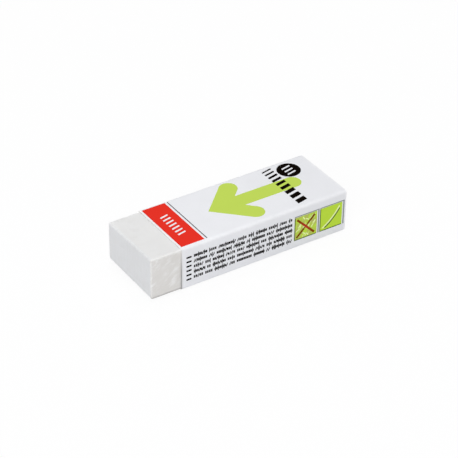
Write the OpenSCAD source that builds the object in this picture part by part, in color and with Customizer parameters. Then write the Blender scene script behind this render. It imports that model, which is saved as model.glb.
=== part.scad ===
// Rubber eraser: a vinyl block in a folded card sleeve, with the sleeve's print as flat fields of colour.
// X runs along the block, and its bare end points to -X. The printed long side faces -Y, and Z is up.
// The origin is at the middle of the underside. Sizes are in millimetres.

/* [Rubber block] */
// Length of the block, end to end
block_l = 62.6; // [54:0.1:75]
// Width of the block
block_w = 21.2; // [18:0.1:26]
// Height of the block
block_h = 12.5; // [11:0.1:16]
// Radius of the four long edges
block_edge_r = 0.6; // [0.3:0.1:1.3]
// Radius of the edges round both ends
block_end_r = 0.5; // [0.2:0.1:1.2]
// Length of rubber left bare outside the sleeve
bare_l = 9.6; // [4:0.1:14]

/* [Card sleeve] */
// Thickness of the card
card_t = 0.3; // [0.2:0.05:0.5]
// Gap between the block and the card, all round
slip_gap = 0.1; // [0.05:0.05:0.3]
// Height of the glue flap's free edge above the inside floor
flap_rise = 1.4; // [0.8:0.1:4]
// Distance of the back panel's cut edge below the top fold
seam_drop = 0.4; // [0.2:0.1:2]

/* [Top print] */
// Thickness of the ink
ink_t = 0.03; // [0.02:0.01:0.1]
// White edge between the folds and the bars, the dot or the arrow before its shift
top_margin = 0.7; // [0.3:0.1:1.2]
// White edge between the sleeve's mouth and the red band
band_margin = 0.5; // [0.3:0.1:2]
// Width of the red band, along the block
band_l = 7.1; // [4:0.1:9]
// Number of slots in the red band, where the card shows through
band_slot_count = 7; // [3:1:9]
// Length of each slot, along the block
band_slot_l = 2.6; // [1.5:0.1:3.2]
// Width of each slot
band_slot_w = 0.6; // [0.4:0.05:0.8]
// White gap between the red band and its pinstripe
pinstripe_gap = 0.7; // [0.3:0.1:1.5]
// Width of the pinstripe
pinstripe_w = 0.25; // [0.15:0.05:0.6]
// White gap between the pinstripe and the arrow's point
arrow_lead = 6.9; // [4:0.1:9]
// Distance of the arrow's round tail from the far end
arrow_tail_inset = 7.7; // [6:0.1:10]
// Distance of the arrow's middle behind the middle of the panel
arrow_shift = 0.3; // [0:0.1:0.4]
// Width of the arrow's shaft
shaft_w = 5; // [3:0.1:5.6]
// Width of the two arms of the arrow's head
arm_w = 5.2; // [3:0.1:6]
// Angle between each arm and the shaft
arm_angle = 44; // [36:1:52]
// Distance of the dot's edge from the far end
dot_inset = 4.2; // [2:0.1:6]
// Radius of the black dot
dot_r = 3.4; // [3:0.1:3.8]
// Length of the three slots in the dot
slot_l = 3; // [2:0.1:3.4]
// Width of each slot
slot_w = 0.6; // [0.4:0.05:0.8]
// White gap between the dot and the row of bars
bar_gap = 0.5; // [0.3:0.1:2]
// Number of black bars in the graded row
bar_count = 9; // [6:1:11]
// Length of each bar
bar_l = 3.3; // [2:0.1:4.5]
// Thickness of the heaviest bar
bar_thick = 1.8; // [1:0.1:2.2]
// Thickness of the finest bar
bar_thin = 0.5; // [0.3:0.1:0.9]
// Lean of the bars and of the slots in the dot
bar_lean = 12; // [0:1:20]

/* [Side print] */
// Distance of the side print's middle below the middle of the panel
side_drop = 0.2; // [0:0.1:0.6]
// Side of each green tile
tile_side = 7.4; // [5:0.1:8]
// Distance of the last tile from the far end
tile_inset = 1.3; // [1:0.1:3]
// Gap between the two tiles
tile_gap = 1; // [0.9:0.1:2]
// White gap between a tile and the grey line over it
line_over_gap = 0.1; // [0.05:0.05:0.4]
// Width of the grey line over a tile
line_over_w = 0.3; // [0.2:0.05:0.5]
// White gap between a tile and the grey line beside it
line_beside_gap = 0.35; // [0.1:0.05:0.4]
// Width of the grey line beside a tile
line_beside_w = 0.4; // [0.2:0.05:0.5]
// White edge between the tile's corners and the marks on it
mark_margin = 0.8; // [0.5:0.1:1.4]
// Width of the red cross's falling stroke
cross_w = 0.65; // [0.4:0.05:1]
// Width of its rising stroke
cross_thin_w = 0.45; // [0.3:0.05:0.9]
// Length of each white crumb round the cross
crumb_l = 1.1; // [0.7:0.1:1.4]
// Width of the white crumbs
crumb_w = 0.32; // [0.2:0.02:0.5]
// Width of the white stroke on the last tile
stroke_w = 0.5; // [0.3:0.05:0.8]
// Distance from that stroke's chord to its centre of curvature
stroke_reach = 16; // [5:0.5:20]

/* [Fine print] */
// White edge between the sleeve's mouth and the tally marks
tally_margin = 1.4; // [0.8:0.1:2]
// Number of tally marks, one above the other
tally_count = 6; // [3:1:8]
// Length of each tally mark
tally_l = 1.6; // [1:0.1:2]
// Thickness of each tally mark
tally_w = 0.5; // [0.3:0.05:0.7]
// White gap on either side of the rows, to the tally and to the first tile
row_margin = 0.7; // [0.4:0.1:2]
// Number of rows of greeked words, which are plain bars
row_count = 5; // [3:1:6]
// Height from one row to the next
row_pitch = 1.7; // [1.4:0.05:1.8]
// Height of the words
word_h = 0.75; // [0.4:0.05:1]
// Length that a word takes for each of its letters
letter_l = 0.6; // [0.4:0.05:0.9]
// White gap between two words
word_gap = 0.55; // [0.3:0.05:1]

/* [Hidden] */
$fn = 96;
// The sleeve is wrapped round the block: one wall at the front, and the glue flap and the panel over it at the back
fold_r = block_edge_r + slip_gap + card_t;
sleeve_l = block_l - bare_l;
sleeve_w = block_w + 2*slip_gap + 3*card_t;
sleeve_h = block_h + 2*slip_gap + 2*card_t;
mouth_x = bare_l - block_l/2;
front_y = -sleeve_w/2;
back_y = sleeve_w/2;
flap_y = back_y - card_t;
block_mid_y = front_y + card_t + slip_gap + block_w/2;
// The flat part of the top panel, between its folds
top_w = flap_y - front_y - 2*fold_r;
top_mid_y = (front_y + flap_y)/2;
// The arrow, measured from the mouth
arrow_tip_x = band_margin + band_l + pinstripe_gap + pinstripe_w + arrow_lead;
tail_x = sleeve_l - arrow_tail_inset - shaft_w/2;
arm_rise = top_w/2 - top_margin - arm_w/2;
arm_l = (arm_rise + arm_w/2*cos(arm_angle))/sin(arm_angle);
// The slots' spacing, and the dot and the row of bars
slot_widths_apart = 2.5;
dot_at = [sleeve_l - dot_inset - dot_r, top_w/2 - top_margin - dot_r];
bar_x = dot_at.x - dot_r - bar_gap - bar_l;
lean_shift = bar_l*tan(bar_lean);
bar_grade = (bar_thick - bar_thin)/(bar_count - 1);
bars_sum = bar_count*(bar_thick + bar_thin)/2;
bar_space = (top_w - 2*top_margin - lean_shift - bars_sum)/(bar_count - 1);
// The tiles' lower left corners on the side panel, from the mouth
tile_low_z = (sleeve_h - tile_side)/2 - side_drop;
last_tile = [sleeve_l - tile_inset - tile_side, tile_low_z];
first_tile = [last_tile.x - tile_gap - tile_side, tile_low_z];
mark_side = tile_side - 2*mark_margin;
// The rows of words and the tally beside them, on the side panel
row_start = tally_margin + tally_l + row_margin;
row_end = first_tile.x - row_margin;
rows_h = (row_count - 1)*row_pitch + word_h;
rows_low_z = (sleeve_h - rows_h)/2 - side_drop;
// Letters in each word, taken in turn from row to row
word_letters = [5, 4, 7, 3, 8, 6, 2, 7, 4, 9, 5, 3, 6];
row_shift = 5;

// A rectangle about the origin with round corners
module rounded_rect(w, h, r) {
    square([w - 2*r, h], center = true);
    square([w, h - 2*r], center = true);
    for (x = [-1, 1], y = [-1, 1]) translate([x*(w/2 - r), y*(h/2 - r)]) circle(r);
}

// A quarter of a ring about the origin, in the quadrant that starts at the given angle
module quarter_ring(r, wall, angle) {
    rotate(angle) intersection() {
        difference() {
            circle(r);
            circle(r - wall);
        }
        square(r);
    }
}

// Runs a drawing in Y and Z along X
module along_x(length) {
    rotate([90, 0, 90]) linear_extrude(length) children();
}

// The vinyl block, with its long edges and its end edges rounded by three crossing prisms
module eraser_block() {
    color("#E6E6E3") translate([0, block_mid_y, sleeve_h/2]) intersection() {
        translate([-block_l/2, 0, 0]) along_x(block_l) rounded_rect(block_w, block_h, block_edge_r);
        linear_extrude(block_h, center = true) rounded_rect(block_l, block_w, block_end_r);
        rotate([90, 0, 0]) linear_extrude(block_w, center = true) rounded_rect(block_l, block_h, block_end_r);
    }
}

// The card's path round the block: flap, top, front, underside, and the back panel glued over the flap
module sleeve_section() {
    straight_h = sleeve_h - 2*fold_r;
    flap_low_z = card_t + flap_rise;
    translate([flap_y - card_t, flap_low_z]) square([card_t, sleeve_h - fold_r - flap_low_z]);
    translate([flap_y - fold_r, sleeve_h - fold_r]) quarter_ring(fold_r, card_t, 0);
    translate([front_y + fold_r, sleeve_h - card_t]) square([top_w, card_t]);
    translate([front_y + fold_r, sleeve_h - fold_r]) quarter_ring(fold_r, card_t, 90);
    translate([front_y, fold_r]) square([card_t, straight_h]);
    translate([front_y + fold_r, fold_r]) quarter_ring(fold_r, card_t, 180);
    translate([front_y + fold_r, 0]) square([sleeve_w - 2*fold_r, card_t]);
    translate([back_y - fold_r, fold_r]) quarter_ring(fold_r, card_t, 270);
    translate([back_y - card_t, fold_r]) square([card_t, straight_h - seam_drop]);
}

module card_sleeve() {
    color("#EBECEF") translate([mouth_x, 0, 0]) along_x(sleeve_l) sleeve_section();
}

// Lays a drawing on the top panel: X from the mouth, Y from the panel's middle
module print_on_top() {
    translate([mouth_x, top_mid_y, sleeve_h]) linear_extrude(ink_t) children();
}

// Lays a drawing on the front panel: X from the mouth, Y up from the underside
module print_on_front() {
    translate([mouth_x, front_y, 0]) rotate([90, 0, 0]) linear_extrude(ink_t) children();
}

// A bar along X that leans in Y
module leaning_bar(length, thickness) {
    shift = length*tan(bar_lean);
    polygon([[0, 0], [length, shift], [length, shift + thickness], [0, thickness]]);
}

// Leaning slots about the origin, one beside the other
module slots(count, length, width) {
    pitch = slot_widths_apart*width;
    shift = length*tan(bar_lean);
    for (i = [0:count - 1])
        translate([-length/2, (i - (count - 1)/2)*pitch - (width + shift)/2]) leaning_bar(length, width);
}

module red_band_print() {
    color("#E53225") print_on_top() translate([band_margin, 0]) difference() {
        translate([0, -top_w/2]) square([band_l, top_w]);
        translate([band_l/2, 0]) slots(band_slot_count, band_slot_l, band_slot_w);
    }
}

module pinstripe_print() {
    color("#9DA2A4") print_on_top()
        translate([band_margin + band_l + pinstripe_gap, -top_w/2]) square([pinstripe_w, top_w]);
}

// Half of the arrow's outline on one side of its shaft, from the head's outer corner to the tail
function arrow_half(side) = let(
    along = [cos(arm_angle), side*sin(arm_angle)],
    inward = [sin(arm_angle), -side*cos(arm_angle)],
    tip = [arrow_tip_x, 0],
    notch = (shaft_w/2 + arm_w*cos(arm_angle))/sin(arm_angle)
) [
    tip + arm_l*along,
    tip + arm_l*along + arm_w*inward,
    tip + notch*along + arm_w*inward,
    [tail_x, side*shaft_w/2]
];

function reversed(list) = [for (i = [len(list) - 1:-1:0]) list[i]];

module arrow_outline() {
    polygon(concat([[arrow_tip_x, 0]], arrow_half(-1), reversed(arrow_half(1))));
    for (side = [-1, 1])
        let (corners = arrow_half(side)) translate((corners[0] + corners[1])/2) circle(arm_w/2);
    translate([tail_x, 0]) circle(shaft_w/2);
}

// A row of bars across the top, from the heaviest at the front to the finest at the back
module graded_bars() {
    for (i = [0:bar_count - 1]) {
        heavier_sum = i*bar_thick - bar_grade*i*(i - 1)/2;
        translate([bar_x, top_margin - top_w/2 + heavier_sum + i*bar_space])
            leaning_bar(bar_l, bar_thick - i*bar_grade);
    }
}

// The bars and the dot are printed over the arrow, so the arrow is left out under them
module arrow_print() {
    color("#C0D95D") print_on_top() difference() {
        translate([0, arrow_shift]) arrow_outline();
        graded_bars();
        translate(dot_at) circle(dot_r);
    }
}

module graded_bars_print() {
    color("#141010") print_on_top() graded_bars();
}

module dot_print() {
    color("#141010") print_on_top() translate(dot_at) difference() {
        circle(dot_r);
        slots(3, slot_l, slot_w);
    }
}

module cross_outline() {
    translate(first_tile + [tile_side, tile_side]/2) {
        rotate(-45) square([mark_side*sqrt(2), cross_w], center = true);
        rotate(45) square([mark_side*sqrt(2), cross_thin_w], center = true);
    }
}

// Two crumbs in each gap between the arms of the cross
module crumbs() {
    inner_reach = tile_side*0.3;
    outer_reach = tile_side*0.38;
    translate(first_tile + [tile_side, tile_side]/2)
        for (gap_angle = [0:90:270]) rotate(gap_angle) {
            rotate(-13) translate([inner_reach, 0]) rotate(70) square([crumb_l, crumb_w], center = true);
            rotate(13) translate([outer_reach, 0]) rotate(25) square([crumb_l, crumb_w], center = true);
        }
}

// One curved stroke between opposite corners of the last tile
module curved_stroke() {
    stroke_r = norm([stroke_reach, mark_side/sqrt(2)]);
    translate(last_tile + [mark_margin, mark_margin]) {
        intersection() {
            translate([mark_side/2 - stroke_reach/sqrt(2), mark_side/2 + stroke_reach/sqrt(2)]) difference() {
                circle(stroke_r + stroke_w/2);
                circle(stroke_r - stroke_w/2);
            }
            square(mark_side);
        }
    }
}

module green_tiles_print() {
    color("#B3D342") print_on_front() difference() {
        for (corner = [first_tile, last_tile]) translate(corner) square(tile_side);
        cross_outline();
        crumbs();
        curved_stroke();
    }
}

// Grey lines above and beside each tile, like a shadow
module tile_frames_print() {
    beside_x = tile_side + line_beside_gap;
    over_z = tile_side + line_over_gap;
    color("#9CA29A") print_on_front()
        for (corner = [first_tile, last_tile]) translate(corner) {
            translate([0, over_z]) square([beside_x + line_beside_w, line_over_w]);
            translate([beside_x, 0]) square([line_beside_w, over_z + line_over_w]);
        }
}

module cross_print() {
    color("#C6402B") print_on_front() cross_outline();
}

// The cross is printed over the crumbs
module white_marks_print() {
    color("#F1F5DC") print_on_front() {
        difference() {
            crumbs();
            cross_outline();
        }
        curved_stroke();
    }
}

// The words of one row from x to the row's end, each as its start and its length
function row_words(x, word) = let(
    room = row_end - x,
    full_l = letter_l*word_letters[word % len(word_letters)]
) room < 2*letter_l ? [] : concat([[x, min(full_l, room)]], row_words(x + full_l + word_gap, word + 1));

module fine_print() {
    tally_pitch = (rows_h - tally_w)/(tally_count - 1);
    color("#2A2A2E") print_on_front() translate([0, rows_low_z]) {
        for (row = [0:row_count - 1], word = row_words(row_start, row*row_shift))
            translate([word[0], row*row_pitch]) square([word[1], word_h]);
        for (i = [0:tally_count - 1]) translate([tally_margin, i*tally_pitch]) square([tally_l, tally_w]);
    }
}

eraser_block();
card_sleeve();
red_band_print();
pinstripe_print();
arrow_print();
graded_bars_print();
dot_print();
green_tiles_print();
tile_frames_print();
cross_print();
white_marks_print();
fine_print();
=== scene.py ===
"""Dresses a rubber eraser: a soft vinyl block in a folded card sleeve with flat printed shapes.

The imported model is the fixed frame. X runs along the block with its bare end at -X, the printed long side
faces -Y, and Z is up. Lengths are in metres.
"""

import math
import random

import bmesh
import bpy
from bpy.props import FloatProperty, FloatVectorProperty, IntProperty, PointerProperty
from mathutils import Matrix, Quaternion, Vector


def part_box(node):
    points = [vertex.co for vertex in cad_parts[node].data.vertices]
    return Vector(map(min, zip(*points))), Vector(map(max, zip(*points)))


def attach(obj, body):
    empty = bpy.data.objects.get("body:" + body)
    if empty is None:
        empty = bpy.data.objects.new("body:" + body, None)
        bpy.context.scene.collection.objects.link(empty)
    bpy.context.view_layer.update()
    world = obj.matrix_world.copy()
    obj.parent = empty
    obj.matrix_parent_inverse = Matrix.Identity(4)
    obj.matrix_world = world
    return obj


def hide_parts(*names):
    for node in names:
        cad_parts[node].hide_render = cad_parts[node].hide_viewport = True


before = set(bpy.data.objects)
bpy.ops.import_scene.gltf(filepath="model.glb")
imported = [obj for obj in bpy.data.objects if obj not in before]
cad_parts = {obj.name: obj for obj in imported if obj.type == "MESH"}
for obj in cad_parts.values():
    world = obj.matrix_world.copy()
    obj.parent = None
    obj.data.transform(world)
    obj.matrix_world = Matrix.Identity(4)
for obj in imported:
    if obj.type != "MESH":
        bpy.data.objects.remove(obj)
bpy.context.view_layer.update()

bl_info = {
    "name": "Rubber Eraser",
    "version": (1, 0, 0),
    "blender": (4, 5, 0),
    "location": "View3D > Sidebar > Eraser",
    "description": "Models a vinyl eraser block, its folded card sleeve, the print on it and a small studio",
    "category": "Object",
}

MM = 0.001
# Slack for places that are compared
HAIR = 0.01 * MM


def screen_colour(red, green, blue):
    """The linear colour that shaders take, from a screen colour of 0 to 255."""
    def channel(value):
        share = value / 255
        return share / 12.92 if share <= 0.04045 else ((share + 0.055) / 1.055) ** 2.4
    return channel(red), channel(green), channel(blue)


def colour(name, description, red, green, blue):
    return FloatVectorProperty(
        name=name, description=description, default=screen_colour(red, green, blue), size=3,
        min=0.0, max=1.0, subtype="COLOR",
    )


def length(name, description, millimetres):
    return FloatProperty(
        name=name, description=description, default=millimetres * MM, min=0.0, precision=5,
        subtype="DISTANCE", unit="LENGTH",
    )


def angle(name, description, degrees):
    return FloatProperty(
        name=name, description=description, default=math.radians(degrees), subtype="ANGLE", unit="ROTATION",
    )


class EraserBlockSettings(bpy.types.PropertyGroup):
    end_rounding: length("End Rounding", "Distance of the support loops from the two end faces", 0.8)
    side_rounding: length("Side Rounding", "Distance of the support loops from the two long sides", 0.55)
    top_rounding: length("Top Rounding", "Distance of the support loop from the top", 0.7)
    low_rounding: length("Low Rounding", "Distance of the support loop from the underside, on the near side", 0.35)
    far_rounding: length("Far Rounding", "Distance of the support loop from the underside, on the far side", 0.9)
    near_slant: length("Near Slant", "How far the cut's near side lies back", 0.45)
    low_slant: length("Low Slant", "How far the cut's lower side lies back", 0.05)
    sag: length("Sag", "How far the underside of the bare end hangs down", 0.08)
    low_wear: length("Low Wear", "How far the lower edge of the cut is rubbed back at its far corner", 0.7)
    cell: length("Cell", "Size of the mesh cells before they are subdivided", 2.0)
    dent_depth: length("Dent Depth", "Depth of the soft dents all over the block", 0.05)
    dent_size: length("Dent Size", "Width of the soft dents", 7.0)
    ripple_depth: length("Ripple Depth", "Depth of the finer unevenness", 0.02)
    ripple_size: length("Ripple Size", "Width of the finer unevenness", 1.8)
    vinyl: colour("Vinyl", "Colour of the vinyl", 227, 227, 227)
    handled: colour("Handled", "Colour of the faint handling marks", 208, 207, 205)
    cut_tint: colour("Cut Tint", "Colour that the cut leans to", 211, 214, 219)
    side_tint: colour("Side Tint", "Colour that the near side leans to", 219, 215, 209)
    # Painted shade: colour of the darkening along the block's lower near edge
    low_edge_painted_shade: colour("Low Edge Shade", "Colour of the painted shade along the lower near edge", 168, 166, 163)


class CardSleeveSettings(bpy.types.PropertyGroup):
    card_thickness: length("Card Thickness", "Thickness of the card", 0.3)
    fold_radius: length("Fold Radius", "Outer radius of the folds", 1.0)
    flap_rise: length("Flap Rise", "Height of the glue flap's free edge above the inside floor", 1.4)
    seam_drop: length("Seam Drop", "Distance of the back panel's cut edge below the top fold", 0.4)
    glue_line: length("Glue Line", "Thickness of the glue between the flap and the back panel", 0.02)
    cut_edge: length("Cut Edge", "Rounding of the card's cut edges", 0.03)
    mouth_press: length("Mouth Press", "How far the mouth's upper and near edges are pressed towards the block", 0.07)
    press_reach: length("Press Reach", "How far that fades out along the sleeve", 1.3)
    # Painted highlight: the paler band on the card's folds and ends
    fold_highlight_band: length("Fold Highlight Band", "Width of the painted highlight band on the folds and along the ends", 1.1)
    fold_steps: IntProperty(name="Fold Steps", description="Segments round each fold", default=10, min=4, max=24)
    face: colour("Coated Face", "Colour of the coated outside", 234, 235, 239)
    core: colour("Card Core", "Colour of the cut edges and of the uncoated inside", 246, 245, 243)
    # Painted shade: colour of the shadow in the gap between the card's mouth and the block
    mouth_gap_shade: colour("Mouth Gap Shade", "Colour of the painted shade in the gap where the block's side passes the cut edge", 130, 129, 129)


class PrintSettings(bpy.types.PropertyGroup):
    red: colour("Red", "Colour of the band at the mouth", 229, 52, 40)
    arrow_green: colour("Arrow Green", "Colour of the arrow", 191, 215, 92)
    tile_green: colour("Tile Green", "Colour of the two tiles", 187, 219, 69)
    streak_green: colour("Streak Green", "Colour of the dull streaks on the first tile", 180, 174, 106)
    shade_green: colour("Shade Green", "Colour of the lines that shade the tiles", 80, 104, 46)
    cross_red: colour("Cross Red", "Colour of the cross at its middle", 180, 55, 42)
    cross_brown: colour("Cross Brown", "Colour of the cross's rising arm and of its ends", 120, 70, 10)
    black: colour("Black", "Colour of the bars, the dot and the rows of marks", 16, 11, 8)
    grey: colour("Grey", "Colour of the frame lines", 143, 150, 149)
    stripe_grey: colour("Stripe Grey", "Colour of the pinstripe", 51, 53, 56)
    pale: colour("Pale", "Colour of the card that shows in the marks on the tiles", 230, 246, 174)
    shade_width: length("Shade Width", "Width of the lines along the tiles' left and lower edges", 0.28)
    stroke_shade: length("Stroke Shade", "Width of the line along the pale stroke", 0.4)
    arm_width: length("Arm Width", "Width of the line over the cross's rising arm", 0.66)
    shade_height: length("Shade Height", "How far those lines stand on the tiles' ink", 0.01)
    tile_margin: length("Tile Margin", "Edge between a tile's corners and the marks on it", 0.8)
    stroke_width: length("Stroke Width", "Width of the pale stroke on the last tile", 0.5)
    stroke_reach: length("Stroke Reach", "Distance from the stroke's chord to its centre of curvature", 16.0)
    mark_pitch: length("Mark Pitch", "Length that each small mark takes in its row", 0.55)
    mark_stroke: length("Mark Stroke", "Width of the bars in the small marks", 0.21)
    mark_lift: length("Mark Lift", "How far the small marks stand above the middle of their row", 0.15)
    mark_seed: IntProperty(name="Mark Seed", description="Picks another mix of small marks", default=11, min=0)


class StudioSettings(bpy.types.PropertyGroup):
    lens: FloatProperty(
        name="Lens", description="Focal length on a 36 mm sensor", default=151.8, min=20.0, unit="CAMERA",
    )
    distance: length("Distance", "Distance from the camera to its aim", 524.2)
    azimuth: angle("Azimuth", "Turn of the camera from the printed side towards the bare end", 33.77)
    elevation: angle("Elevation", "Height of the camera above the horizon", 34.36)
    roll: angle("Roll", "Turn of the camera about its line of sight", 1.0)
    aim_x: length("Aim X", "Place along the block of the point that the camera looks at", 0.37)
    aim_z: length("Aim Z", "Height of the point that the camera looks at", 5.31)
    key: FloatProperty(
        name="Key", description="Light of the large lamp at the left of the camera", default=0.45, min=0.0,
    )
    overhead: FloatProperty(name="Overhead", description="Light of the large lamp above", default=0.49, min=0.0)
    sky: FloatProperty(name="Sky", description="Strength of the even light from all round", default=0.38, min=0.0)
    floor_glow: FloatProperty(
        name="Floor Glow", description="Share of plain white in the floor that the camera sees", default=0.9,
        min=0.0, max=1.0, subtype="FACTOR",
    )
    floor: colour("Floor", "Colour of the floor", 248, 248, 249)


# Modelling with operators, in small steps


def deselect_all():
    if bpy.context.object and bpy.context.object.mode != "OBJECT":
        bpy.ops.object.mode_set(mode="OBJECT")
    bpy.ops.object.select_all(action="DESELECT")


def make_active(piece):
    deselect_all()
    piece.select_set(True)
    bpy.context.view_layer.objects.active = piece


def name_piece(name):
    """Names the object that was just added, and puts its place into its mesh."""
    piece = bpy.context.object
    piece.name = name
    piece.data.name = name
    bpy.ops.object.transform_apply(location=True, rotation=True, scale=True)
    return piece


def edit(piece):
    make_active(piece)
    bpy.ops.object.mode_set(mode="EDIT")


def leave_edit():
    bpy.ops.object.mode_set(mode="OBJECT")


def select(piece, kind, test):
    """Selects the vertices or edges that pass a test, and nothing else, of a mesh in edit mode."""
    bpy.ops.mesh.select_mode(type=kind)
    bpy.ops.mesh.select_all(action="DESELECT")
    mesh = bmesh.from_edit_mesh(piece.data)
    chosen = [item for item in (mesh.verts if kind == "VERT" else mesh.edges) if test(item)]
    if not chosen:
        raise RuntimeError(f"{piece.name}: nothing is there to select")
    for item in chosen:
        item.select_set(True)
    bmesh.update_edit_mesh(piece.data)


def runs_along(edge, axis):
    step = edge.verts[1].co - edge.verts[0].co
    return abs(step[axis]) > 0.9 * step.length


def cut_all(place, normal):
    """Cuts a loop into the whole mesh where a plane crosses it."""
    bpy.ops.mesh.select_all(action="SELECT")
    bpy.ops.mesh.bisect(plane_co=place, plane_no=normal)


def merge_doubles():
    bpy.ops.mesh.select_all(action="SELECT")
    bpy.ops.mesh.remove_doubles(threshold=0.002 * MM)


def thicken(depth):
    """Turns the flat shape that is being edited, which faces -Y, into a closed one."""
    bpy.ops.mesh.select_all(action="SELECT")
    bpy.ops.mesh.extrude_region_move(TRANSFORM_OT_translate={"value": (0, -depth, 0)})
    bpy.ops.mesh.select_all(action="SELECT")
    bpy.ops.mesh.normals_make_consistent(inside=False)


def add_front_plate(name, low_x, low_z, width, height, y):
    """A flat rectangle that faces -Y."""
    deselect_all()
    bpy.ops.mesh.primitive_plane_add(
        size=1, location=(low_x + width / 2, y, low_z + height / 2), rotation=(math.radians(90), 0, 0),
    )
    bpy.context.object.scale = (width, height, 1)
    return name_piece(name)


def add_modifier(piece, name, kind, **settings):
    modifier = piece.modifiers.new(name, kind)
    for setting, value in settings.items():
        setattr(modifier, setting, value)
    return modifier


def apply_modifiers(piece):
    make_active(piece)
    for name in [modifier.name for modifier in piece.modifiers]:
        bpy.ops.object.modifier_apply(modifier=name)


def finish_piece(piece, body, smooth_degrees=40):
    """Smooths a piece and hangs it on its CAD body."""
    make_active(piece)
    bpy.ops.object.shade_smooth_by_angle(angle=math.radians(smooth_degrees))
    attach(piece, body)
    deselect_all()


def join_pieces(pieces, name):
    deselect_all()
    for piece in pieces:
        piece.select_set(True)
    bpy.context.view_layer.objects.active = pieces[0]
    bpy.ops.object.join()
    pieces[0].name = name
    pieces[0].data.name = name
    return pieces[0]


# Materials


def add_node(tree, kind, **settings):
    node = tree.nodes.new(kind)
    for name, value in settings.items():
        setattr(node, name, value)
    return node


def feed(tree, socket, value):
    """Links a socket to an input, or sets the input to a value."""
    if isinstance(value, bpy.types.NodeSocket):
        tree.links.new(value, socket)
    else:
        socket.default_value = value


def calculate(tree, operation, *values, clamp=False):
    node = add_node(tree, "ShaderNodeMath", operation=operation, use_clamp=clamp)
    for socket, value in zip(node.inputs, values):
        feed(tree, socket, value)
    return node.outputs["Value"]


def calculate_vector(tree, operation, *values):
    node = add_node(tree, "ShaderNodeVectorMath", operation=operation)
    for socket, value in zip(node.inputs, values):
        feed(tree, socket, value)
    return node.outputs["Vector"]


def remap(tree, value, low, high, to_low=0.0, to_high=1.0):
    node = add_node(tree, "ShaderNodeMapRange", clamp=True)
    names = ("Value", "From Min", "From Max", "To Min", "To Max")
    for name, number in zip(names, (value, low, high, to_low, to_high)):
        feed(tree, node.inputs[name], number)
    return node.outputs["Result"]


def mix_colours(tree, share, first, second):
    node = add_node(tree, "ShaderNodeMix", data_type="RGBA")
    for socket, value in zip((node.inputs[0], node.inputs[6], node.inputs[7]), (share, first, second)):
        feed(tree, socket, value)
    return node.outputs[2]


def object_place(tree):
    return add_node(tree, "ShaderNodeTexCoord").outputs["Object"]


def split_vector(tree, vector):
    node = add_node(tree, "ShaderNodeSeparateXYZ")
    tree.links.new(vector, node.inputs[0])
    return node.outputs


def add_noise(tree, cells_per_metre, detail, stretch=(1.0, 1.0, 1.0), roughness=0.5, lift_degrees=0.0):
    """Noise on Object coordinates, finer along an axis whose stretch is above 1, with X lifted towards Z."""
    mapping = add_node(tree, "ShaderNodeMapping", vector_type="TEXTURE")
    mapping.inputs["Rotation"].default_value = (0, -math.radians(lift_degrees), 0)
    mapping.inputs["Scale"].default_value = [1 / finer for finer in stretch]
    noise = add_node(tree, "ShaderNodeTexNoise")
    noise.inputs["Scale"].default_value = cells_per_metre
    noise.inputs["Detail"].default_value = detail
    noise.inputs["Roughness"].default_value = roughness
    tree.links.new(object_place(tree), mapping.inputs["Vector"])
    tree.links.new(mapping.outputs["Vector"], noise.inputs["Vector"])
    return noise.outputs["Fac"]


def start_group(name, inputs, output, output_kind):
    """An empty node group with its inputs, as (name, kind, default), and its one output."""
    group = bpy.data.node_groups.new(name, "ShaderNodeTree")
    for label, kind, default in inputs:
        group.interface.new_socket(name=label, in_out="INPUT", socket_type=kind).default_value = default
    group.interface.new_socket(name=output, in_out="OUTPUT", socket_type=output_kind)
    return group, add_node(group, "NodeGroupInput").outputs, add_node(group, "NodeGroupOutput").inputs[output]


def build_mottle():
    """Varies a colour a little towards another, in wide clouds and in fine flecks."""
    group, given, result = start_group(
        "soft_mottle",
        [
            ("Colour", "NodeSocketColor", (0.8, 0.8, 0.8, 1.0)),
            ("Other Colour", "NodeSocketColor", (0.7, 0.7, 0.7, 1.0)),
            ("Clouds", "NodeSocketFloat", 0.2),
            ("Flecks", "NodeSocketFloat", 0.1),
        ],
        "Mottled", "NodeSocketColor",
    )
    clouds = remap(group, add_noise(group, 180.0, 3.0), 0.35, 0.7)
    flecks = remap(group, add_noise(group, 5200.0, 1.0), 0.45, 0.75)
    share = calculate(
        group, "ADD", calculate(group, "MULTIPLY", clouds, given["Clouds"]),
        calculate(group, "MULTIPLY", flecks, given["Flecks"]), clamp=True,
    )
    group.links.new(mix_colours(group, share, given["Colour"], given["Other Colour"]), result)
    return group


def build_card_grain():
    """The height of a card's surface: fibres that run along the card, and a fine tooth."""
    group, given, result = start_group(
        "card_grain",
        [("Fibre", "NodeSocketFloat", 1.0), ("Tooth", "NodeSocketFloat", 0.5)],
        "Height", "NodeSocketFloat",
    )
    fibre = calculate(group, "MULTIPLY", add_noise(group, 900.0, 3.0, (0.25, 1.0, 1.0), 0.6), given["Fibre"])
    tooth = calculate(group, "MULTIPLY", add_noise(group, 6500.0, 1.0), given["Tooth"])
    group.links.new(calculate(group, "ADD", fibre, tooth), result)
    return group


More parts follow.
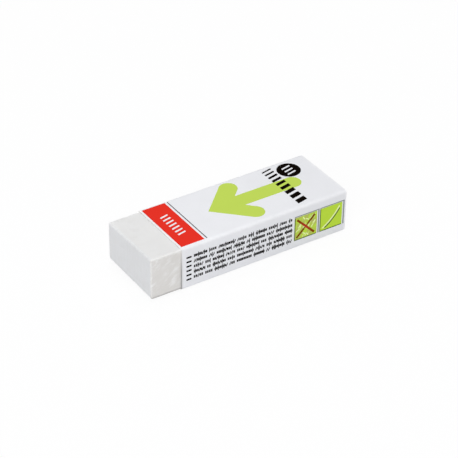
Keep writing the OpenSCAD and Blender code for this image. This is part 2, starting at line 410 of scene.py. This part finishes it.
def build_edge_mask_for_wear_and_highlight():
    """A ragged mask that is 1 on the twelve edges of a box and fades to 0 on its faces."""
    group, given, result = start_group(
        "edge_wear",
        [
            ("Centre", "NodeSocketVector", (0.0, 0.0, 0.0)),
            ("Half Size", "NodeSocketVector", (1.0, 1.0, 1.0)),
            ("Reach", "NodeSocketFloat", 0.001),
        ],
        "Mask", "NodeSocketFloat",
    )
    from_centre = calculate_vector(
        group, "ABSOLUTE", calculate_vector(group, "SUBTRACT", object_place(group), given["Centre"]),
    )
    x, y, z = split_vector(group, calculate_vector(group, "SUBTRACT", given["Half Size"], from_centre))
    least = calculate(group, "MINIMUM", calculate(group, "MINIMUM", x, y), z)
    most = calculate(group, "MAXIMUM", calculate(group, "MAXIMUM", x, y), z)
    total = calculate(group, "ADD", calculate(group, "ADD", x, y), z)
    middle = calculate(group, "SUBTRACT", calculate(group, "SUBTRACT", total, least), most)
    ragged = remap(group, add_noise(group, 1400.0, 3.0), 0.3, 0.7, 0.4, 1.3)
    reach = calculate(group, "MULTIPLY", given["Reach"], ragged)
    group.links.new(calculate(group, "SUBTRACT", 1.0, calculate(group, "DIVIDE", middle, reach), clamp=True), result)
    return group


GROUP_BUILDERS = {"soft_mottle": build_mottle, "card_grain": build_card_grain, "edge_wear": build_edge_mask_for_wear_and_highlight}


def place_group(tree, name, values):
    """Places a shared node group, which is built the first time, and returns its output."""
    group = bpy.data.node_groups.get(name) or GROUP_BUILDERS[name]()
    node = add_node(tree, "ShaderNodeGroup", node_tree=group)
    for label, value in values.items():
        feed(tree, node.inputs[label], value)
    return node.outputs[0]


def start_material(name, roughness, specular):
    material = bpy.data.materials.new(name)
    material.use_nodes = True
    shader = material.node_tree.nodes["Principled BSDF"]
    shader.inputs["Roughness"].default_value = roughness
    shader.inputs["Specular IOR Level"].default_value = specular
    return material, material.node_tree, shader


def add_bump(tree, shader, height, depth):
    bump = add_node(tree, "ShaderNodeBump")
    bump.inputs["Distance"].default_value = depth
    tree.links.new(height, bump.inputs["Height"])
    tree.links.new(bump.outputs["Normal"], shader.inputs["Normal"])


def shift_colour(rgb, share, target):
    """A colour moved by a share towards another, with its alpha."""
    return (*[a + (b - a) * share for a, b in zip(rgb, target)], 1.0)


def add_mottle(tree, rgb, other, clouds, flecks):
    """A slightly uneven colour."""
    return place_group(
        tree, "soft_mottle", {"Colour": (*rgb, 1.0), "Other Colour": other, "Clouds": clouds, "Flecks": flecks},
    )


def add_card_grain(tree, shader, tooth, depth):
    add_bump(tree, shader, place_group(tree, "card_grain", {"Fibre": 1.0, "Tooth": tooth}), depth)


def mask_edges_for_wear_and_highlight(tree, low, high, reach):
    """1 on the edges of a piece's box, fading to 0 within about the given reach."""
    return place_group(
        tree, "edge_wear", {"Centre": (low + high) / 2, "Half Size": (high - low) / 2, "Reach": reach},
    )


def start_ink(name, rgb):
    """Flat printing ink over the card's grain. Its uneven colour and the socket for it come last."""
    material, tree, shader = start_material(name, 0.45, 0.0)
    add_card_grain(tree, shader, 0.6, 0.006 * MM)
    uneven = add_mottle(tree, rgb, shift_colour(rgb, 0.04, (0, 0, 0)), 0.4, 0.4)
    return material, tree, uneven, shader.inputs["Base Color"]


def make_ink(name, rgb):
    material, tree, uneven, base = start_ink(name, rgb)
    tree.links.new(uneven, base)
    return material


def make_tile_ink(settings, low, high):
    """Green ink, with dull streaks and short pale rubs on the tile that carries the cross."""
    material, tree, surface, base = start_ink("tile_green_ink", tuple(settings.tile_green))
    x, _, _ = split_vector(tree, object_place(tree))
    past_first = low.x + (high.z - low.z) + 10 * HAIR
    on_first = calculate(tree, "LESS_THAN", x, past_first)
    streaks = remap(tree, add_noise(tree, 1100.0, 3.0, (0.5, 1.0, 2.0), lift_degrees=55), 0.44, 0.62, 0.0, 0.9)
    rubs = remap(tree, add_noise(tree, 900.0, 2.0, (1.6, 1.0, 0.5), lift_degrees=-20), 0.56, 0.64, 0.0, 0.8)
    for share, tint in ((streaks, settings.streak_green), (rubs, settings.pale)):
        surface = mix_colours(tree, calculate(tree, "MULTIPLY", on_first, share), surface, (*tint, 1.0))
    tree.links.new(surface, base)
    return material


def make_cross_ink(settings, low, high):
    """Red ink at the middle of the cross, darker on the rising arm and towards the arms' ends."""
    material, tree, uneven, base = start_ink("cross_red_ink", tuple(settings.cross_red))
    red_middle, fade_start, fade_end = 0.45 * MM, 1.0 * MM, 4.0 * MM
    x, _, z = split_vector(tree, calculate_vector(tree, "SUBTRACT", object_place(tree), (low + high) / 2))
    off_rising = calculate(tree, "ABSOLUTE", calculate(tree, "SUBTRACT", x, z))
    off_falling = calculate(tree, "ABSOLUTE", calculate(tree, "ADD", x, z))
    rising = calculate(tree, "GREATER_THAN", calculate(tree, "SUBTRACT", off_falling, off_rising), red_middle)
    outer = remap(tree, calculate(tree, "MAXIMUM", off_rising, off_falling), fade_start, fade_end, 0.0, 0.85)
    share = calculate(tree, "MAXIMUM", calculate(tree, "MULTIPLY", rising, 0.9), outer)
    tree.links.new(mix_colours(tree, share, uneven, (*settings.cross_brown, 1.0)), base)
    return material


def shade_mouth_gap(tree, settings, low, unshaded, strength, reach):
    """Mixes painted shade of the gap between card and block into a colour at the mouth's near side, most of all low
    down.
    """
    x, y, z = split_vector(tree, object_place(tree))
    inside = low.y + settings.card_thickness + settings.mouth_press + 2 * HAIR
    near = calculate(tree, "LESS_THAN", y, inside)
    at_mouth = remap(tree, x, low.x + 4 * HAIR, low.x + reach, strength, 0.0)
    fading = remap(tree, z, 6.0 * MM, 12.0 * MM, 1.0, 0.3)
    share = calculate(tree, "MULTIPLY", calculate(tree, "MULTIPLY", at_mouth, near), fading)
    return mix_colours(tree, share, unshaded, (*settings.mouth_gap_shade, 1.0))


def make_coated_card(settings, low, high):
    """White coated card, with a painted highlight as a paler band on its folds and along its ends, and painted shade
    at the mouth's near side.
    """
    material, tree, shader = start_material("coated_card", 0.42, 0.2)
    face = tuple(settings.face)
    even = add_mottle(tree, face, shift_colour(face, 0.04, (0, 0, 0)), 0.6, 0.3)
    # Painted highlight: the folds and ends are mixed paler, standing in for light on the rounded folds
    fold_highlight_mask = mask_edges_for_wear_and_highlight(tree, low, high, settings.fold_highlight_band)
    fold_highlighted = mix_colours(
        tree, calculate(tree, "MULTIPLY", fold_highlight_mask, 0.5), even, shift_colour(face, 0.6, (1, 1, 1)),
    )
    # Painted shade of the gap at the mouth's near side
    tree.links.new(shade_mouth_gap(tree, settings, low, fold_highlighted, 0.4, 0.6 * MM), shader.inputs["Base Color"])
    add_card_grain(tree, shader, 0.6, 0.008 * MM)
    return material


def make_card_core(settings, low):
    """Bare card inside and on the cut edges, with painted shade of the mouth's gap on the near cut edge."""
    material, tree, shader = start_material("card_core", 0.85, 0.2)
    core = tuple(settings.core)
    unshaded = add_mottle(tree, core, shift_colour(core, 0.12, (0, 0, 0)), 0.4, 0.6)
    tree.links.new(shade_mouth_gap(tree, settings, low, unshaded, 1.0, 0.05 * MM), shader.inputs["Base Color"])
    add_card_grain(tree, shader, 1.0, 0.02 * MM)
    return material


def make_vinyl(settings, low, high):
    """Soft vinyl with a matt skin: cloudy off-white, cool on the cut, warm and scuffed on the near side.

    Its edges are rubbed paler, with a painted highlight that grows towards the top, apart from the lower near one,
    which is darkened with painted shade.
    """
    material, tree, shader = start_material("soft_vinyl", 0.55, 0.4)
    shader.inputs["Subsurface Weight"].default_value = 0.08
    shader.inputs["Subsurface Radius"].default_value = (1.0, 0.95, 0.9)
    shader.inputs["Subsurface Scale"].default_value = 0.8 * MM
    vinyl, handled = tuple(settings.vinyl), (*settings.handled, 1.0)
    pale = shift_colour(vinyl, 0.45, (1, 1, 1))
    x, y, z = split_vector(tree, object_place(tree))
    slope = settings.near_slant / (high.y - low.y)
    behind_cut = calculate(tree, "MULTIPLY_ADD", y, slope, x)
    cut = low.x + slope * high.y
    on_cut = remap(tree, behind_cut, cut + 0.3 * MM, cut + 0.8 * MM, 1.0, 0.0)
    sawn = remap(tree, add_noise(tree, 1300.0, 2.0, (1.0, 1.0, 0.25)), 0.45, 0.6, 0.0, 0.12)
    near = remap(tree, y, low.y + 0.2 * MM, low.y + 0.7 * MM, 1.0, 0.0)
    patches = remap(tree, add_noise(tree, 300.0, 2.0), 0.42, 0.6, 0.2, 1.0)
    scuffs = remap(tree, add_noise(tree, 560.0, 4.0, (0.55, 1.0, 1.3), 0.6, 32), 0.47, 0.64, 0.0, 0.75)
    rubbed_and_highlit = mask_edges_for_wear_and_highlight(tree, low, high, 0.9 * MM)
    layers = (
        (remap(tree, add_noise(tree, 260.0, 4.0, (0.8, 1.0, 1.6), 0.6), 0.54, 0.72, 0.0, 0.3), handled),
        (calculate(tree, "MULTIPLY", on_cut, 0.4), (*settings.cut_tint, 1.0)),
        (calculate(tree, "MULTIPLY", on_cut, sawn), handled),
        (calculate(tree, "MULTIPLY", near, 0.5), (*settings.side_tint, 1.0)),
        (calculate(tree, "MULTIPLY", near, calculate(tree, "MULTIPLY", scuffs, patches)), pale),
        # Partly wear, partly painted highlight: the edges are paler, and more so towards the top, where the light
        # falls
        (calculate(tree, "MULTIPLY", rubbed_and_highlit, remap(tree, z, low.z, low.z + 7 * MM, 0.2, 0.7)), pale),
        # Painted shade: the lower near edge darkens towards the floor, where the downward-facing rounding gets no
        # light
        (calculate(tree, "MULTIPLY", near, remap(tree, z, low.z + 0.2 * MM, low.z + 0.7 * MM, 0.8, 0.0)),
         (*settings.low_edge_painted_shade, 1.0)),
    )
    surface = add_mottle(tree, vinyl, handled, 0.15, 0.1)
    for share, tint in layers:
        surface = mix_colours(tree, share, surface, tint)
    tree.links.new(surface, shader.inputs["Base Color"])
    pits = remap(tree, add_noise(tree, 420.0, 2.0), 0.28, 0.42, 0.0, 0.8)
    skin = add_noise(tree, 1500.0, 5.0, roughness=0.65)
    add_bump(tree, shader, calculate(tree, "ADD", skin, pits), 0.035 * MM)
    return material


# One operator for each piece or group of like pieces


class ERASER_OT_vinyl_block(bpy.types.Operator):
    """Model the soft vinyl block, with its slanted cut, its rounded edges and its shallow dents"""
    bl_idname = "eraser.vinyl_block"
    bl_label = "Vinyl Block"

    def execute(self, context):
        settings = context.scene.eraser_block
        low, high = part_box("eraser_block")
        deselect_all()
        bpy.ops.mesh.primitive_cube_add(size=1, location=(low + high) / 2)
        context.object.scale = high - low
        block = name_piece("vinyl_block")
        edit(block)
        self.slant_the_cut(block, (low + high) / 2, settings)
        self.divide_faces(block, high - low, settings.cell)
        self.cut_support_loops(low, high, settings)
        self.wear_low_edge(block, low, high, settings)
        leave_edit()
        add_modifier(block, "rounding", "SUBSURF", levels=2, render_levels=2)
        self.add_unevenness(block, "dents", settings.dent_depth, settings.dent_size)
        self.add_unevenness(block, "ripples", settings.ripple_depth, settings.ripple_size)
        apply_modifiers(block)
        block.data.materials.append(make_vinyl(settings, low, high))
        finish_piece(block, "block", 60)
        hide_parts("eraser_block")
        return {"FINISHED"}

    def slant_the_cut(self, block, middle, settings):
        """The bare end was cut a little off square, both in plan and from the side, and it sags a little."""
        select(block, "VERT", lambda v: v.co.x < middle.x and v.co.z < middle.z)
        bpy.ops.transform.translate(value=(settings.low_slant, 0, -settings.sag))
        select(block, "VERT", lambda v: v.co.x < middle.x and v.co.y < middle.y)
        bpy.ops.transform.translate(value=(settings.near_slant, 0, 0))

    def divide_faces(self, block, size, cell):
        for axis in range(3):
            select(block, "EDGE", lambda edge: runs_along(edge, axis))
            bpy.ops.mesh.subdivide(number_cuts=round(size[axis] / cell) - 1)

    def cut_support_loops(self, low, high, settings):
        """Loops close to the edges, which keep the faces flat and the edges tight when the mesh is smoothed."""
        side, end = settings.side_rounding, settings.end_rounding
        size = high - low
        slanted = Vector((1, settings.near_slant / size.y, settings.low_slant / size.z))
        cut_all(Vector((low.x + end, high.y, high.z)), slanted)
        cut_all(Vector((high.x - end, 0, 0)), (1, 0, 0))
        for place in (low.y + side, high.y - side):
            cut_all((0, place, 0), (0, 1, 0))
        cut_all((0, 0, high.z - settings.top_rounding), (0, 0, 1))
        rounder = settings.far_rounding - settings.low_rounding
        cut_all((0, low.y, low.z + settings.low_rounding), (0, -rounder / size.y, 1))

    def wear_low_edge(self, block, low, high, settings):
        """The lower edge of the cut is rubbed round, most of all at its far corner."""
        deepest = low.x + settings.near_slant + settings.low_slant + HAIR
        select(block, "VERT", lambda v: v.co.x < deepest and v.co.z < low.z + HAIR)
        bpy.ops.mesh.hide(unselected=True)
        select(block, "VERT", lambda v: not v.hide and v.co.y > high.y - HAIR)
        bpy.ops.transform.translate(
            value=(settings.low_wear, 0, 0.6 * settings.low_wear), use_proportional_edit=True,
            proportional_edit_falloff="LINEAR", proportional_size=1.15 * (high.y - low.y),
        )
        bpy.ops.mesh.reveal(select=False)

    def add_unevenness(self, block, name, depth, size):
        """Dents that go inwards only, so that the block still slides in its sleeve."""
        clouds = bpy.data.textures.new(name, "CLOUDS")
        clouds.noise_scale = size
        add_modifier(block, name, "DISPLACE", texture=clouds, strength=depth, mid_level=1.0)


class ERASER_OT_card_sleeve(bpy.types.Operator):
    """Fold the sleeve from one sheet of card, from its glue flap round to the panel that covers the flap"""
    bl_idname = "eraser.card_sleeve"
    bl_label = "Card Sleeve"

    def execute(self, context):
        settings = context.scene.card_sleeve
        low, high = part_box("card_sleeve")
        sheet = self.fold_sheet(context, settings, low, high)
        self.press_mouth(sheet, settings, low, high)
        sheet.data.materials.append(make_coated_card(settings, low, high))
        sheet.data.materials.append(make_card_core(settings, low))
        add_modifier(
            sheet, "card", "SOLIDIFY", thickness=settings.card_thickness, offset=-1, use_even_offset=True,
            material_offset=1, material_offset_rim=1,
        )
        add_modifier(
            sheet, "cut_edges", "BEVEL", width=settings.cut_edge, segments=2, limit_method="ANGLE",
            angle_limit=math.radians(60),
        )
        apply_modifiers(sheet)
        finish_piece(sheet, "sleeve")
        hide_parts("card_sleeve")
        return {"FINISHED"}

    def fold_sheet(self, context, settings, low, high):
        """Starts from the glue flap and folds four times a quarter turn. The sheet is the card's outside."""
        fold = settings.fold_radius
        flap_y = high.y - settings.card_thickness - settings.glue_line
        flap_low = low.z + settings.card_thickness + settings.flap_rise
        sheet = add_front_plate(
            "folded_card", low.x, flap_low, high.x - low.x, high.z - fold - flap_low, flap_y,
        )
        edit(sheet)
        select(sheet, "EDGE", lambda edge: all(v.co.z > high.z - fold - HAIR for v in edge.verts))
        upright = high.z - low.z - 2 * fold
        route = (
            ((flap_y - fold, high.z - fold), (2 * fold - flap_y + low.y, 0)),
            ((low.y + fold, high.z - fold), (0, -upright)),
            ((low.y + fold, low.z + fold), (high.y - low.y - 2 * fold, 0)),
            ((high.y - fold, low.z + fold), (0, upright - settings.seam_drop)),
        )
        for (fold_y, fold_z), (step_y, step_z) in route:
            bpy.ops.mesh.spin(
                steps=settings.fold_steps, angle=math.radians(90), center=(0, fold_y, fold_z), axis=(-1, 0, 0),
            )
            bpy.ops.mesh.extrude_region_move(TRANSFORM_OT_translate={"value": (0, step_y, step_z)})
        merge_doubles()
        bpy.ops.mesh.normals_make_consistent(inside=False)
        mesh = bmesh.from_edit_mesh(sheet.data)
        front = min(mesh.faces, key=lambda face: face.calc_center_median().y)
        if front.normal.y > 0:
            bpy.ops.mesh.flip_normals()
        leave_edit()
        return sheet

    def press_mouth(self, sheet, settings, low, high):
        """At the mouth, the card's top and near side lie closer to the block than further in."""
        edit(sheet)
        for share in (0.25, 0.5, 0.75, 1.0):
            cut_all((low.x + share * settings.press_reach, 0, 0), (1, 0, 0))
        press = settings.mouth_press
        for shift, on_panel in (
            ((0, 0, -press), lambda v: v.co.z > high.z - HAIR),
            ((0, press, 0), lambda v: v.co.y < low.y + HAIR),
        ):
            select(sheet, "VERT", lambda v: v.co.x < low.x + HAIR and on_panel(v))
            bpy.ops.transform.translate(
                value=shift, use_proportional_edit=True, use_proportional_connected=True,
                proportional_edit_falloff="SMOOTH", proportional_size=settings.press_reach,
            )
        leave_edit()


class ERASER_OT_inks(bpy.types.Operator):
    """Give each printed field its ink"""
    bl_idname = "eraser.inks"
    bl_label = "Inks"

    def execute(self, context):
        settings = context.scene.eraser_print
        fields = {
            "red": ("red_band_print",),
            "arrow_green": ("arrow_print",),
            "black": ("graded_bars_print", "dot_print"),
            "grey": ("tile_frames_print",),
            "stripe_grey": ("pinstripe_print",),
            "pale": ("white_marks_print",),
        }
        for name, nodes in fields.items():
            ink = make_ink(f"{name}_ink", tuple(getattr(settings, name)))
            for node in nodes:
                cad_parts[node].material_slots[0].material = ink
        for node, maker in (("green_tiles_print", make_tile_ink), ("cross_print", make_cross_ink)):
            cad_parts[node].material_slots[0].material = maker(settings, *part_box(node))
        return {"FINISHED"}


class ERASER_OT_small_marks(bpy.types.Operator):
    """Set rows of small abstract marks, and a column of bars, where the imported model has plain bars"""
    bl_idname = "eraser.small_marks"
    bl_label = "Small Marks"

    def execute(self, context):
        settings = context.scene.eraser_print
        low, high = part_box("fine_print")
        bars = self.read_bars()
        masters = self.model_masters(settings, bars, high.y, high.y - low.y)
        tally = self.model_tally(bars, low.x, high.y, high.y - low.y)
        mixer = random.Random(settings.mark_seed)
        copies = []
        for bar_low, bar_high in bars:
            if bar_low.x < low.x + HAIR:
                copies.append(self.copy_to(tally, bar_low))
                continue
            count = max(1, round((bar_high.x - bar_low.x) / settings.mark_pitch))
            pitch = (bar_high.x - bar_low.x) / count
            for place in range(count):
                master = mixer.choices(masters, weights=(4, 2, 5, 3, 2))[0]
                copies.append(self.copy_to(master, bar_low + Vector((pitch * place, 0, 0))))
        for master in [*masters, tally]:
            bpy.data.objects.remove(master)
        marks = join_pieces(copies, "rows_of_marks")
        marks.data.materials.append(make_ink("fine_black_ink", tuple(settings.black)))
        finish_piece(marks, "sleeve")
        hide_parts("fine_print")
        return {"FINISHED"}

    def read_bars(self):
        """The boxes of the plain bars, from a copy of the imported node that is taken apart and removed."""
        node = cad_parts["fine_print"]
        spare = bpy.data.objects.new("bars", node.data.copy())
        bpy.context.scene.collection.objects.link(spare)
        edit(spare)
        merge_doubles()
        bpy.ops.mesh.separate(type="LOOSE")
        leave_edit()
        parts = list(bpy.context.selected_objects)
        boxes = []
        for part in parts:
            corners = [v.co for v in part.data.vertices]
            boxes.append((
                Vector([min(c[axis] for c in corners) for axis in range(3)]),
                Vector([max(c[axis] for c in corners) for axis in range(3)]),
            ))
        for part in parts:
            bpy.data.objects.remove(part)
        return sorted(boxes, key=lambda box: (round(box[0].z, 5), round(box[0].x, 5)))

    def model_masters(self, settings, bars, back_y, depth):
        """Five marks, each at the origin: a block, two bars or two steps, a little above the row's middle.

        Each of their strokes is its start along the row, then its middle, its width and its height, of which
        the middle and the height are shares of the row's height.
        """
        height = max(high.z - low.z for low, high in bars)
        line = settings.mark_stroke
        start = 0.05 * settings.mark_pitch
        second = start + 1.2 * line
        shapes = (
            ((start, 0.5, 2.1 * line, 1.0),),
            ((start, 0.5, line, 1.9), (second, 0.5, line, 0.9)),
            ((start, 0.5, line, 1.1), (second, 0.5, line, 1.1)),
            ((start, 0.5, line, 0.9), (second, 0.5, line, 2.0)),
            ((start, 0.2, 1.2 * line, 0.8), (second, 0.8, 1.1 * line, 0.8)),
        )
        masters = []
        for number, strokes in enumerate(shapes):
            plates = []
            for low_x, middle, width, tall in strokes:
                low_z = (middle - tall / 2) * height + settings.mark_lift
                plate = add_front_plate("stroke", low_x, low_z, width, tall * height, back_y)
                edit(plate)
                thicken(depth)
                leave_edit()
                plates.append(plate)
            masters.append(join_pieces(plates, f"mark_{number}"))
        return masters

    def model_tally(self, bars, column_x, back_y, depth):
        """One bar of the column that starts at column_x, with cut corners, at the origin."""
        low, high = next(box for box in bars if box[0].x < column_x + HAIR)
        bar = add_front_plate("tally_bar", 0, 0, high.x - low.x, high.z - low.z, back_y)
        edit(bar)
        bpy.ops.mesh.select_all(action="SELECT")
        bpy.ops.mesh.bevel(offset=0.3 * (high.z - low.z), segments=3, affect="VERTICES")
        thicken(depth)
        leave_edit()
        return bar

    def copy_to(self, master, place):
        copy = master.copy()
        copy.data = master.data.copy()
        copy.data.transform(Matrix.Translation((place.x, 0, place.z)))
        bpy.context.scene.collection.objects.link(copy)
        return copy


class ERASER_OT_tile_shading(bpy.types.Operator):
    """Draw the thin dark lines that shade the two green tiles, the cross's rising arm and the pale stroke"""
    bl_idname = "eraser.tile_shading"
    bl_label = "Tile Shading"

    def execute(self, context):
        settings = context.scene.eraser_print
        low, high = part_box("green_tiles_print")
        side = high.z - low.z
        lines = [self.corner_line(settings, x, low.z, side, low.y) for x in (low.x, high.x - side)]
        lines.append(self.stroke_line(settings, high.x - side, low.z, side, low.y))
        shading = join_pieces(lines, "tile_shading")
        shading.data.materials.append(make_ink("shade_green_ink", tuple(settings.shade_green)))
        finish_piece(shading, "sleeve")
        low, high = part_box("cross_print")
        halves = [self.arm_line(settings, low, high, degrees) for degrees in (45, 225)]
        arm = join_pieces(halves, "cross_shading")
        arm.data.materials.append(make_ink("cross_brown_ink", tuple(settings.cross_brown)))
        finish_piece(arm, "sleeve")
        return {"FINISHED"}

    def arm_line(self, settings, low, high, degrees):
        """One half of the cross's rising arm, from beside the red middle to near the arm's end."""
        reach = (high.x - low.x) / math.sqrt(2)
        start, end = 0.2 * reach, 0.94 * reach
        middle = Vector(((low.x + high.x) / 2, low.y, (low.z + high.z) / 2))
        turn = math.radians(degrees)
        deselect_all()
        bpy.ops.mesh.primitive_plane_add(
            size=1, location=middle + (start + end) / 2 * Vector((math.cos(turn), 0, math.sin(turn))),
            rotation=(math.radians(90), -turn, 0),
        )
        bpy.context.object.scale = (end - start, settings.arm_width, 1)
        line = name_piece("arm_line")
        edit(line)
        thicken(settings.shade_height)
        leave_edit()
        return line

    def corner_line(self, settings, tile_x, tile_z, side, y):
        """One line down a tile's left edge and along its lower edge."""
        wide = settings.shade_width
        line = add_front_plate("corner_line", tile_x, tile_z, wide, side, y)
        edit(line)
        cut_all((0, 0, tile_z + wide), (0, 0, 1))
        select(line, "EDGE", lambda edge: all(
            v.co.x > tile_x + 0.5 * wide and v.co.z < tile_z + 1.01 * wide for v in edge.verts
        ))
        bpy.ops.mesh.extrude_region_move(TRANSFORM_OT_translate={"value": (side - wide, 0, 0)})
        merge_doubles()
        thicken(settings.shade_height)
        leave_edit()
        return line

    def stroke_line(self, settings, tile_x, tile_z, side, y):
        """A thin arc under the pale stroke, about the stroke's own centre of curvature."""
        mark = side - 2 * settings.tile_margin
        half_chord = mark / math.sqrt(2)
        reach = settings.stroke_reach / math.sqrt(2)
        middle = settings.tile_margin + mark / 2
        centre = Vector((tile_x + middle - reach, y, tile_z + middle + reach))
        wide = settings.stroke_shade
        radius = math.hypot(settings.stroke_reach, half_chord) + settings.stroke_width / 2 + wide / 2
        half_turn = 0.82 * math.atan2(half_chord, settings.stroke_reach)
        start = math.radians(-45) - half_turn
        outward = Vector((math.cos(start), 0, math.sin(start)))
        along = Vector((-math.sin(start), 0, math.cos(start)))
        plate_middle = centre + radius * outward
        plate_length = 2 * HAIR
        deselect_all()
        bpy.ops.mesh.primitive_plane_add(
            size=1, location=plate_middle, rotation=(math.radians(90), -start, 0),
        )
        bpy.context.object.scale = (wide, plate_length, 1)
        line = name_piece("stroke_line")
        edit(line)
        select(line, "EDGE", lambda edge: all(
            (v.co - plate_middle).dot(along) > plate_length / 4 for v in edge.verts
        ))
        bpy.ops.mesh.spin(steps=18, angle=2 * half_turn, center=centre, axis=(0, 1, 0))
        merge_doubles()
        thicken(settings.shade_height)
        leave_edit()
        return line


class ERASER_OT_studio(bpy.types.Operator):
    """Set up the pale floor, the white backdrop, two soft lamps and the camera"""
    bl_idname = "eraser.studio"
    bl_label = "Studio"

    def execute(self, context):
        settings = context.scene.eraser_studio
        aim = Vector((settings.aim_x, 0, settings.aim_z))
        self.lay_floor(settings)
        self.light_world(context, settings)
        self.hang_lamp(
            "key_lamp", aim, direction=Vector((-0.62, -0.54, 0.57)), distance=2.0, size=1.1, light=settings.key,
        )
        self.hang_lamp(
            "overhead_lamp", aim, direction=Vector((0.1, 0.08, 1.0)), distance=1.2, size=1.0,
            light=settings.overhead,
        )
        self.aim_camera(context, settings, aim)
        context.scene.view_settings.view_transform = "Standard"
        return {"FINISHED"}

    def mask_seen(self, tree):
        """1 for rays that come from the camera, a reflection or a glass, and 0 for rays that light things."""
        path = add_node(tree, "ShaderNodeLightPath").outputs
        seen = calculate(tree, "MAXIMUM", path["Is Camera Ray"], path["Is Glossy Ray"])
        return calculate(tree, "MAXIMUM", seen, path["Is Transmission Ray"])

    def lay_floor(self, settings):
        deselect_all()
        bpy.ops.mesh.primitive_plane_add(size=3, location=(0, 0, -0.02 * MM))
        floor = name_piece("floor")
        material, tree, shader = start_material("pale_floor", 0.9, 0.2)
        shader.inputs["Base Color"].default_value = (*settings.floor, 1.0)
        glow = add_node(tree, "ShaderNodeEmission")
        mix = add_node(tree, "ShaderNodeMixShader")
        feed(tree, mix.inputs[0], calculate(tree, "MULTIPLY", self.mask_seen(tree), settings.floor_glow))
        tree.links.new(shader.outputs["BSDF"], mix.inputs[1])
        tree.links.new(glow.outputs["Emission"], mix.inputs[2])
        tree.links.new(mix.outputs[0], tree.nodes["Material Output"].inputs["Surface"])
        floor.data.materials.append(material)

    def light_world(self, context, settings):
        world = context.scene.world or bpy.data.worlds.new("studio")
        context.scene.world = world
        world.use_nodes = True
        tree = world.node_tree
        tree.nodes.clear()
        sky = add_node(tree, "ShaderNodeBackground")
        backdrop = add_node(tree, "ShaderNodeBackground")
        for background, strength in ((sky, settings.sky), (backdrop, 1.0)):
            background.inputs["Color"].default_value = (1.0, 1.0, 1.0, 1.0)
            background.inputs["Strength"].default_value = strength
        mix = add_node(tree, "ShaderNodeMixShader")
        feed(tree, mix.inputs[0], self.mask_seen(tree))
        tree.links.new(sky.outputs[0], mix.inputs[1])
        tree.links.new(backdrop.outputs[0], mix.inputs[2])
        tree.links.new(mix.outputs[0], add_node(tree, "ShaderNodeOutputWorld").inputs["Surface"])

    def hang_lamp(self, name, aim, direction, distance, size, light):
        """A square lamp. At a light of 1, a white surface that faces it renders white."""
        away = direction.normalized()
        deselect_all()
        bpy.ops.object.light_add(
            type="AREA", location=aim + distance * away, rotation=away.to_track_quat("Z", "Y").to_euler(),
        )
        lamp = bpy.context.object
        lamp.name = name
        lamp.data.shape = "SQUARE"
        lamp.data.size = size
        lamp.data.energy = light * (math.pi * distance) ** 2

    def aim_camera(self, context, settings, aim):
        flat, rise = math.cos(settings.elevation), math.sin(settings.elevation)
        away = Vector((-math.sin(settings.azimuth) * flat, -math.cos(settings.azimuth) * flat, rise))
        turn = away.to_track_quat("Z", "Y") @ Quaternion((0, 0, 1), settings.roll)
        deselect_all()
        bpy.ops.object.camera_add(location=aim + settings.distance * away, rotation=turn.to_euler())
        camera = bpy.context.object
        camera.data.sensor_width = 36
        camera.data.lens = settings.lens
        camera.data.clip_start = 0.01
        context.scene.camera = camera


class ERASER_PT_panel(bpy.types.Panel):
    """Lists the operators in their order, each group with its settings"""
    bl_idname = "ERASER_PT_panel"
    bl_label = "Rubber Eraser"
    bl_space_type = "VIEW_3D"
    bl_region_type = "UI"
    bl_category = "Eraser"

    def draw(self, context):
        for label, group, steps in PANEL_PARTS:
            part = self.layout.box()
            part.label(text=label)
            for step in steps:
                part.operator(step)
            settings = getattr(context.scene, group)
            for name in settings.__annotations__:
                part.prop(settings, name)


SETTING_GROUPS = {
    "eraser_block": EraserBlockSettings,
    "card_sleeve": CardSleeveSettings,
    "eraser_print": PrintSettings,
    "eraser_studio": StudioSettings,
}
PANEL_PARTS = (
    ("Block", "eraser_block", ("eraser.vinyl_block",)),
    ("Sleeve", "card_sleeve", ("eraser.card_sleeve",)),
    ("Print", "eraser_print", ("eraser.inks", "eraser.small_marks", "eraser.tile_shading")),
    ("Studio", "eraser_studio", ("eraser.studio",)),
)
CLASSES = (
    *SETTING_GROUPS.values(),
    ERASER_OT_vinyl_block,
    ERASER_OT_card_sleeve,
    ERASER_OT_inks,
    ERASER_OT_small_marks,
    ERASER_OT_tile_shading,
    ERASER_OT_studio,
    ERASER_PT_panel,
)


def register():
    for each in CLASSES:
        bpy.utils.register_class(each)
    for name, group in SETTING_GROUPS.items():
        setattr(bpy.types.Scene, name, PointerProperty(type=group))


def unregister():
    for name in SETTING_GROUPS:
        delattr(bpy.types.Scene, name)
    for each in reversed(CLASSES):
        bpy.utils.unregister_class(each)


def main():
    register()
    bpy.ops.eraser.vinyl_block()
    bpy.ops.eraser.card_sleeve()
    bpy.ops.eraser.inks()
    bpy.ops.eraser.small_marks()
    bpy.ops.eraser.tile_shading()
    bpy.ops.eraser.studio()


if __name__ == "__main__":
    main()
